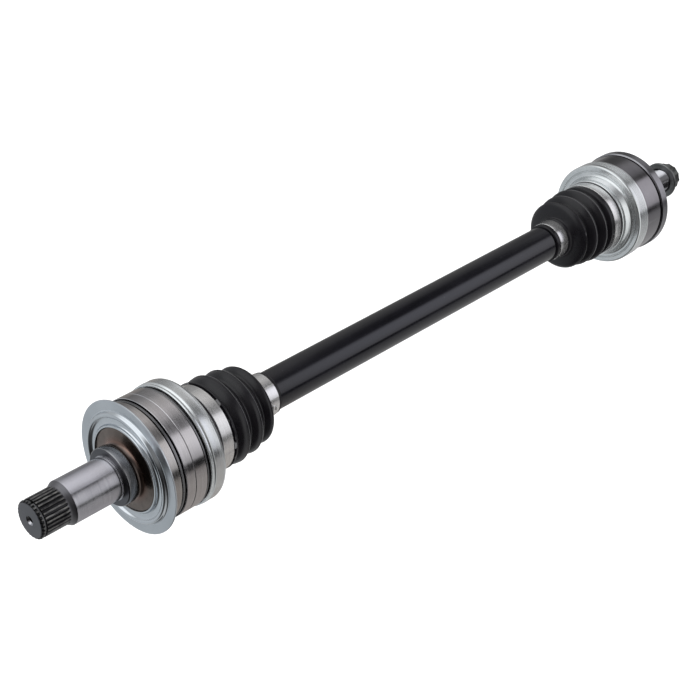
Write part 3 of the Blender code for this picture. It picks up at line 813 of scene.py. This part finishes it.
def shaft_end(prefix, centre, face, side):
    """A waisted shaft end: spigot in the tube, shoulder, spline under the race and snap ring groove."""
    tip = centre + side * 13.5
    out = centre + side * RACE_HALF
    race_in = centre - side * RACE_HALF
    plain = [
        (face - side * 16.0, 0), (face - side * 16.0, 8.4), (face - side * 15.2, 9.2), (face, 9.2),
        (face, 14.2), (face + side * 2.4, 12.0), (race_in - side * 5.6, 12.0),
        (race_in - side * 2.6, 15.0), (race_in - side * 0.3, 15.0), (race_in - side * 0.3, 11.4),
    ]
    tail = [(out + side * 0.2, 10.6), (out + side * 2.1, 10.6), (out + side * 2.1, 11.6),
            (tip - side * 0.8, 11.6), (tip, 10.6), (tip, 0)]
    ridge = [(race_in + side * 0.1, 12.5), (out, 12.5)]
    obj = turned(f"{prefix}_shaft_end_detail",
                 [("ground", plain, None), ("ground", ridge, teeth(HIDDEN_TEETH, HIDDEN_DEPTH)),
                  ("ground", tail, None)],
                 sides=240)
    put(obj, SHAFT, "machined_steel", f"{prefix}_shaft_end")


# ---------------------------------------------------------------- shaft

def tube():
    """The painted tube between the joints, stepped down under each small clamp."""
    outer = softened([(-184.0, 14.2), (-170.3, 14.2, 0), (-170.3, 15.4, 0), (-169.7, 16.0, 0.3),
                      (177.5, 16.0, 0.3), (178.1, 15.4), (178.1, 14.2), (193.8, 14.2)], 0.1)
    bore = [(193.8, 9.5), (176.0, 9.5), (172.0, 11.5), (-164.0, 11.5), (-168.0, 9.5), (-184.0, 9.5)]
    obj = turned("axle_tube_detail", [("paint", outer, None), ("paint", bore, None)], closed=True)
    put(obj, SHAFT, "black_paint", "axle_tube")


# ---------------------------------------------------------------- outboard side

def outboard_boot():
    """Small sleeve on the shaft, three folds and a clamped cuff."""
    sleeve = softened([(179.6, 16.9), (180.0, 17.4), (183.4, 17.4), (183.7, 16.9), (194.6, 16.9),
                       (195.2, 17.2)], 0.15)
    folds = flowing([
        (195.2, 17.2), (196.2, 18.6), (197.6, 19.0), (198.4, 20.0), (199.2, 23.6), (200.4, 28.0),
        (201.8, 30.5), (203.6, 31.5), (205.4, 31.2), (207.4, 29.6), (209.4, 27.4), (210.8, 26.6),
        (212.0, 27.6), (213.6, 30.3), (215.4, 32.6), (217.6, 33.6), (219.6, 32.9), (221.6, 31.0),
        (223.4, 28.6), (224.6, 27.9), (226.0, 29.3), (227.6, 32.0), (229.2, 34.2), (231.1, 35.0),
        (233.2, 34.2), (235.2, 32.2), (236.8, 30.5), (237.8, 30.1), (238.8, 31.2), (239.8, 33.4),
    ], 5)
    cuff = softened([(239.8, 33.4), (240.5, 34.4), (244.0, 34.4), (244.4, 34.0), (253.9, 34.0),
                     (254.1, 35.3), (255.2, 35.3, 0.1), (255.25, 35.0)], 0.25)
    line = ridged(sleeve + folds[1:] + cuff[1:], (203.4, 217.0, 230.6))

    def wall(x):
        return 2.3 if x < 196.0 else 1.9

    boot(
        "outboard", line, wall, (213.6, 222.6, 230.0),
        (SHAFT, "outboard_top_ball", "outboard_cage_set", "outboard_bottom_ball", HUB),
        {0: ("outboard_boot_neck",), 1: ("outboard_boot_folds",), 3: ("outboard_boot_cuff",)},
    )


def outboard_can():
    """The stepped can that holds the boot on the bell, and the seal behind it."""
    outer = softened([
        (243.2, 31.3), (255.4, 31.3), (255.6, 35.6, 0.5), (256.4, 36.0), (259.4, 36.3, 2.0),
        (264.4, 38.4, 1.2), (265.2, 40.0, 0.8), (265.2, 41.8, 0.3), (266.0, 42.2, 0.3), (266.0, 42.8, 0.3),
        (265.2, 43.4, 0.3), (265.2, 46.6, 0.5), (265.6, 47.5, 0.5), (266.6, 48.0, 0.5), (269.4, 48.0),
        *scribed(270.4, 48.0, 0.4, 0.16), *scribed(272.4, 48.0, 0.4, 0.16),
        *scribed(274.4, 48.0, 0.4, 0.16), *scribed(276.4, 48.0, 0.4, 0.16), (278.9, 48.0),
    ], 0.1, 4)
    inner = softened([
        (278.9, 46.8), (267.2, 46.8), (267.1, 41.4), (266.0, 40.2), (264.2, 37.4), (260.4, 35.4),
        (256.8, 34.6), (256.6, 30.1), (243.2, 30.1),
    ], 0.4)
    obj = turned("outboard_boot_can_detail", [("can", outer, None), ("can", inner, None)], closed=True)
    put(obj, HUB, "zinc_plate", "outboard_boot_can")
    seal = softened([(279.1, 45.3), (279.1, 46.7), (279.7, 46.9), (280.2, 46.7), (280.2, 45.3)], 0.2)
    obj = turned("outboard_seal_ring_detail", [("rubber", seal, None)], closed=True)
    put(obj, HUB, "rubber", "outboard_seal_ring")


def outboard_housing():
    """Joint bell, shoulder, splined and threaded stub, and the dust ring on the bell's back."""
    hollow = CAGE_OUT + 0.9
    spline = teeth(HUB_TEETH, 1.1)
    outline = [
        ("bearing", [(CENTRE_OUT + 20.5, 0), *sphere_line(CENTRE_OUT, hollow, 20.5, 14.9, 4)], None),
        ("bearing", sphere_line(CENTRE_OUT, hollow, 14.8, -14.6, 30), curved_bell),
        ("bearing", [(270.0, 34.4)], curved_bell),
        ("bell", [(270.0, 42.0), (270.0, 46.0), (270.4, 46.4), (279.0, 46.4), (279.0, 45.0), (280.4, 45.0),
                  (280.4, 46.7), (280.6, 46.9), (280.9, 46.9), (300.9, 46.9), (301.3, 46.9),
                  (301.6, 46.6)], None),
        ("groove", [(301.8, 44.0), (310.9, 44.0)], None),
        ("flange", softened([(311.4, 44.0), (314.8, 31.0), (318.0, 31.0), (318.0, 15.6), (319.2, 14.1),
                             (320.4, 14.1)], 0.4), None),
        ("ground", [(320.4, 15.2), (354.0, 15.2), (355.0, 14.4)], spline),
        ("ground", [(355.0, 14.1), (356.6, 10.1), (358.4, 10.1)], None),
        ("ground", steps_between(359.4, 388.8, 11.0, 0.1875), thread(1.5, 0.75)),
        ("ground", softened([(388.9, 10.3), (390.0, 9.6, 0.2), (390.0, 3.0), (387.4, 1.4, 0), (386.0, 0)]),
         None),
    ]
    obj = turned("outboard_stub_housing_detail", outline, sides=192)
    put(obj, HUB, "machined_steel", "outboard_stub_housing")
    ring = softened([(303.3, 44.3), (303.3, 47.0), (304.3, 48.1), (311.9, 48.1), (312.2, 47.8),
                     (312.2, 44.3)], 0.2)
    obj = turned("outboard_dust_ring_detail", [("flange", ring, None)], closed=True)
    put(obj, HUB, "machined_steel", "outboard_dust_ring")


def axle_nut():
    """A twelve-point nut with a round flange towards the hub."""
    def twelve(x, r, a):
        t = (a / TAU * NUT_POINTS) % 1.0
        return r - NUT_DEPTH * abs(math.sin(math.pi * t))

    flange = softened([(372.2, 12.9), (372.2, 17.2), (372.8, 17.8), (374.2, 17.8), (375.6, 14.6),
                       (375.8, 14.0)], 0.2)
    body = [(375.9, 13.9), (376.2, 13.9), (387.0, 13.9), (387.9, 13.4)]
    top = [(388.4, 12.4), (388.4, 12.0), (387.4, 11.3), (373.4, 11.3)]
    obj = turned("axle_nut_detail", [("phosphate", flange, None), ("phosphate", body, twelve),
                                     ("phosphate", top, None)], closed=True, sides=240)
    put(obj, HUB, "black_phosphate", "axle_nut")


def build():
    inboard_housing()
    dust_shield()
    inboard_can()
    split_ring("inboard_stub_circlip_detail", -387.3, -385.9, 12.5, 13.4, STUB, "inboard_stub_circlip")
    inboard_boot()
    clamp("inboard_large_clamp_detail", -245.1, -235.4, 33.45, 0.8, STUB, "inboard_large_clamp",
          math.radians(200))
    clamp("inboard_small_clamp_detail", -183.2, -173.2, 17.05, 0.6, SHAFT, "inboard_small_clamp",
          math.radians(-75), lap=38)
    hooks = [(math.radians(-95), -1.6, 1.4, 5.5, 0.9), (math.radians(-99), 1.4, 1.4, 4.0, 0.9)]
    clamp_hooks("inboard_small_clamp_hooks", -178.2, 18.05, hooks, SHAFT)
    lugs = [(math.radians(-31 + 60 * k), 0.0, 2.0, 6.0, 2.4) for k in range(6)]
    clamp_hooks("inboard_cuff_lugs", -234.4, 33.7, lugs, STUB, "rubber")
    tube()
    outboard_boot()
    outboard_can()
    outboard_housing()
    clamp("outboard_large_clamp_detail", 244.6, 253.8, 34.2, 0.8, HUB, "outboard_large_clamp",
          math.radians(200))
    clamp("outboard_small_clamp_detail", 183.9, 194.5, 17.05, 0.6, SHAFT, "outboard_small_clamp",
          math.radians(60), ear=math.radians(158))
    axle_nut()
    for prefix, centre, side, face, shape in (
        ("inboard", CENTRE_IN, -1, -184.3, straight_race), ("outboard", CENTRE_OUT, 1, 194.1, curved_race)
    ):
        balls(prefix, centre)
        cage(prefix, centre)
        inner_race(prefix, centre, shape)
        shaft_end(prefix, centre, face, side)
        clip = sorted((centre + side * (RACE_HALF + 0.4), centre + side * (RACE_HALF + 1.9)))
        split_ring(f"{prefix}_race_circlip_detail", *clip, 11.2, 14.2, SHAFT, f"{prefix}_race_circlip")


# ---------------------------------------------------------------- studio

FLOOR_Z = -250.0            # low enough that the part leaves no shadow in view

# The studio round the part: a grey or a colour by degrees about the shaft's axis, from the front horizon
# upwards. The light differs along the shaft, so STUDIO gives each ring the places, as the X of a
# direction, where it holds. The first ring is what the end faces mirror, and the rest what the sloped
# and the round sides mirror from end to end.
END_FACES = (
    (-180, (0.60, 0.63, 0.66)), (-118, (0.52, 0.55, 0.57)), (-98, 0.08), (-20, 0.012), (8, 0.05),
    (30, 0.24), (62, (0.26, 0.26, 0.27)), (84, (1.35, 1.38, 1.41)), (134, (1.40, 1.43, 1.45)),
    (152, (0.50, 0.52, 0.54)), (180, (0.60, 0.63, 0.66)),
)
JOURNAL = (
    (-180, (0.30, 0.30, 0.31)), (-139, (0.30, 0.30, 0.31)), (-87, (0.46, 0.45, 0.46)),
    (-40, (0.38, 0.37, 0.38)), (-24, (0.26, 0.26, 0.27)), (-18, 0.01), (-9, 0.01),
    (-4, (0.34, 0.34, 0.36)), (12, (0.56, 0.56, 0.60)), (34, (0.46, 0.46, 0.49)),
    (46, (0.30, 0.30, 0.32)), (50, (0.08, 0.08, 0.09)), (55, (0.08, 0.08, 0.09)),
    (62, (0.80, 0.80, 0.85)), (80, (1.12, 1.12, 1.18)), (110, (1.08, 1.08, 1.14)),
    (140, (0.66, 0.66, 0.70)), (162, (0.30, 0.30, 0.32)), (180, (0.24, 0.24, 0.25)),
)
CUP = (
    (-180, (0.24, 0.23, 0.22)), (-150, (0.32, 0.30, 0.285)), (-90, (0.40, 0.375, 0.355)),
    (-45, (0.40, 0.375, 0.355)), (-24, (0.30, 0.28, 0.27)), (-15, 0.02), (-6, 0.02),
    (0, (0.52, 0.52, 0.53)), (14, (0.80, 0.80, 0.82)), (32, (1.05, 1.04, 1.06)),
    (50, (0.98, 0.97, 0.99)), (57, 0.26), (66, 0.13), (76, 0.17), (88, (0.44, 0.43, 0.43)),
    (104, (0.60, 0.585, 0.58)), (124, (0.52, 0.51, 0.50)), (146, 0.30), (180, 0.16),
)
TUBE = (
    (-180, 0.30), (-139, 0.42), (-80, 0.62), (-45, (0.55, 0.55, 0.56)), (-24, (0.40, 0.40, 0.42)),
    (-17, 0.01), (-9, 0.01), (-4, (0.90, 0.90, 0.98)), (20, (1.28, 1.30, 1.48)),
    (44, (1.36, 1.38, 1.58)), (54, (1.02, 1.03, 1.18)), (64, (0.10, 0.10, 0.11)), (80, 0.02),
    (100, 0.04), (116, (0.26, 0.26, 0.27)), (140, 0.38), (165, 0.30), (180, 0.26),
)
BELL = (
    (-180, 0.30), (-139, 0.42), (-80, 0.50), (-45, 0.44), (-20, (0.36, 0.36, 0.37)), (-13, 0.01),
    (-6, 0.01), (-1, (0.80, 0.79, 0.82)), (30, (1.14, 1.13, 1.17)), (60, (1.02, 1.01, 1.05)),
    (67, 0.14), (74, 0.14), (80, (0.30, 0.30, 0.31)), (96, (0.46, 0.46, 0.48)),
    (114, (0.46, 0.46, 0.47)), (134, 0.16), (160, 0.10), (180, 0.20),
)
BEYOND = (
    (-180, 0.08), (-60, 0.08), (0, 0.10), (50, 0.14), (80, (0.55, 0.55, 0.56)),
    (110, (0.55, 0.55, 0.56)), (140, 0.14), (180, 0.08),
)
SLOPES = (
    (-180, (0.50, 0.51, 0.52)), (-139, (0.52, 0.53, 0.54)), (-80, (0.62, 0.63, 0.63)),
    (-40, (0.80, 0.81, 0.81)), (-15, (0.98, 0.99, 1.00)), (0, (1.15, 1.16, 1.17)),
    (28, (1.15, 1.16, 1.17)), (40, (0.70, 0.71, 0.72)), (52, (0.26, 0.26, 0.27)),
    (66, (0.26, 0.26, 0.27)), (80, (0.72, 0.73, 0.75)), (95, (1.05, 1.07, 1.09)),
    (125, (1.05, 1.07, 1.09)), (150, (0.55, 0.57, 0.58)), (180, (0.50, 0.51, 0.52)),
)
STUDIO = (
    (-0.30, END_FACES), (0.05, SLOPES), (0.42, SLOPES), (0.44, JOURNAL), (0.477, JOURNAL), (0.484, CUP),
    (0.57, CUP), (0.60, TUBE), (0.72, TUBE), (0.74, BELL), (0.80, BELL), (0.90, BEYOND),
)


def world():
    """White to the eye and to soft light, and the rings of STUDIO to what the metal mirrors."""
    made = bpy.data.worlds.new("studio")
    bpy.context.scene.world = made
    made.use_nodes = True
    n = Nodes(made.node_tree)
    n.tree.nodes.clear()
    split = n.add("ShaderNodeSeparateXYZ")
    n.link(n.add("ShaderNodeTexCoord").outputs["Generated"], split.inputs[0])
    front = n.add("ShaderNodeMath", operation="MULTIPLY")
    front.inputs[1].default_value = -1.0
    n.link(split.outputs[1], front.inputs[0])
    angle = n.add("ShaderNodeMath", operation="ARCTAN2")
    n.link(split.outputs[2], angle.inputs[0])
    n.link(front.outputs[0], angle.inputs[1])
    place = n.remap(angle.outputs[0], -math.pi, math.pi)
    rings = {
        ring: n.ramp(place, [((degrees + 180) / 360, colour) for degrees, colour in ring])
        for _, ring in STUDIO
    }
    colour = rings[STUDIO[0][1]]
    for (start, one), (end, two) in zip(STUDIO, STUDIO[1:]):
        if one is not two:
            part = n.remap(split.outputs[0], start, end, kind="SMOOTHSTEP")
            colour = n.mix(part, colour, rings[two])
    studio = n.add("ShaderNodeBackground")
    n.link(colour, studio.inputs[0])
    white = n.add("ShaderNodeBackground")
    white.inputs[0].default_value = (1.0, 1.0, 1.0, 1.0)
    rays = n.add("ShaderNodeLightPath")
    plain = n.add("ShaderNodeMath", operation="MAXIMUM")
    n.link(rays.outputs["Is Camera Ray"], plain.inputs[0])
    n.link(rays.outputs["Is Diffuse Ray"], plain.inputs[1])
    choose = n.add("ShaderNodeMixShader")
    n.link(plain.outputs[0], choose.inputs[0])
    n.link(studio.outputs[0], choose.inputs[1])
    n.link(white.outputs[0], choose.inputs[2])
    n.link(choose.outputs[0], n.add("ShaderNodeOutputWorld").inputs[0])


def floor():
    """A pale, faintly glowing floor that the metal doesn't mirror and that is clear from below."""
    bm = bmesh.new()
    bmesh.ops.create_grid(bm, x_segments=8, y_segments=8, size=6000.0)
    bmesh.ops.translate(bm, vec=(0, 0, FLOOR_Z), verts=bm.verts)
    bmesh.ops.transform(bm, matrix=Matrix.Scale(MM, 4), verts=bm.verts)
    mesh = bpy.data.meshes.new("floor")
    bm.to_mesh(mesh)
    bm.free()
    obj = bpy.data.objects.new("floor", mesh)
    bpy.context.scene.collection.objects.link(obj)
    n = Surface("pale_floor")
    n.bsdf.inputs["Base Color"].default_value = (0.9, 0.9, 0.9, 1.0)
    n.bsdf.inputs["Roughness"].default_value = 0.9
    n.bsdf.inputs["Specular IOR Level"].default_value = 0.0
    n.bsdf.inputs["Emission Color"].default_value = (1.0, 1.0, 1.0, 1.0)
    n.bsdf.inputs["Emission Strength"].default_value = 0.22
    clear = n.add("ShaderNodeBsdfTransparent")
    choose = n.add("ShaderNodeMixShader")
    unseen = n.add("ShaderNodeMath", operation="MAXIMUM")
    n.link(n.add("ShaderNodeLightPath").outputs["Is Glossy Ray"], unseen.inputs[0])
    n.link(n.add("ShaderNodeNewGeometry").outputs["Backfacing"], unseen.inputs[1])
    n.link(unseen.outputs[0], choose.inputs[0])
    n.link(n.bsdf.outputs[0], choose.inputs[1])
    n.link(clear.outputs[0], choose.inputs[2])
    n.link(choose.outputs[0], n.tree.nodes["Material Output"].inputs[0])
    mesh.materials.append(n.material)


def soft_light(name, where, size, power):
    """A large soft lamp that lights without showing in the metal."""
    lamp = bpy.data.lights.new(name, "AREA")
    lamp.shape = "SQUARE"
    lamp.size = size
    lamp.energy = power
    obj = bpy.data.objects.new(name, lamp)
    obj.location = where
    obj.rotation_mode = "QUATERNION"
    obj.rotation_quaternion = (-Vector(where)).to_track_quat("-Z", "Y")
    obj.visible_glossy = False
    bpy.context.scene.collection.objects.link(obj)


AZIMUTH, ELEVATION = math.radians(-46.6), math.radians(30.8)
AIM = Vector((-78.4, -1.0, -1.15)) * MM
DISTANCE = 1.167            # metres from the camera to the point it aims at
LENS = 74.6                 # millimetres, on a 36 mm sensor


def camera():
    data = bpy.data.cameras.new("camera")
    data.lens = LENS
    data.sensor_width = 36.0
    data.clip_start = 0.01
    data.clip_end = 50.0
    obj = bpy.data.objects.new("camera", data)
    back = Vector((
        math.sin(AZIMUTH) * math.cos(ELEVATION), -math.cos(AZIMUTH) * math.cos(ELEVATION),
        math.sin(ELEVATION),
    ))
    obj.location = AIM + DISTANCE * back
    obj.rotation_mode = "QUATERNION"
    obj.rotation_quaternion = (-back).to_track_quat("-Z", "Y")
    bpy.context.scene.collection.objects.link(obj)
    bpy.context.scene.camera = obj


build()
world()
floor()
soft_light("overhead", (-0.1, -0.2, 2.2), 3.2, 22.0)
soft_light("fill", (-1.4, -1.6, 1.2), 2.2, 5.0)
camera()
bpy.context.scene.view_settings.view_transform = "Standard"
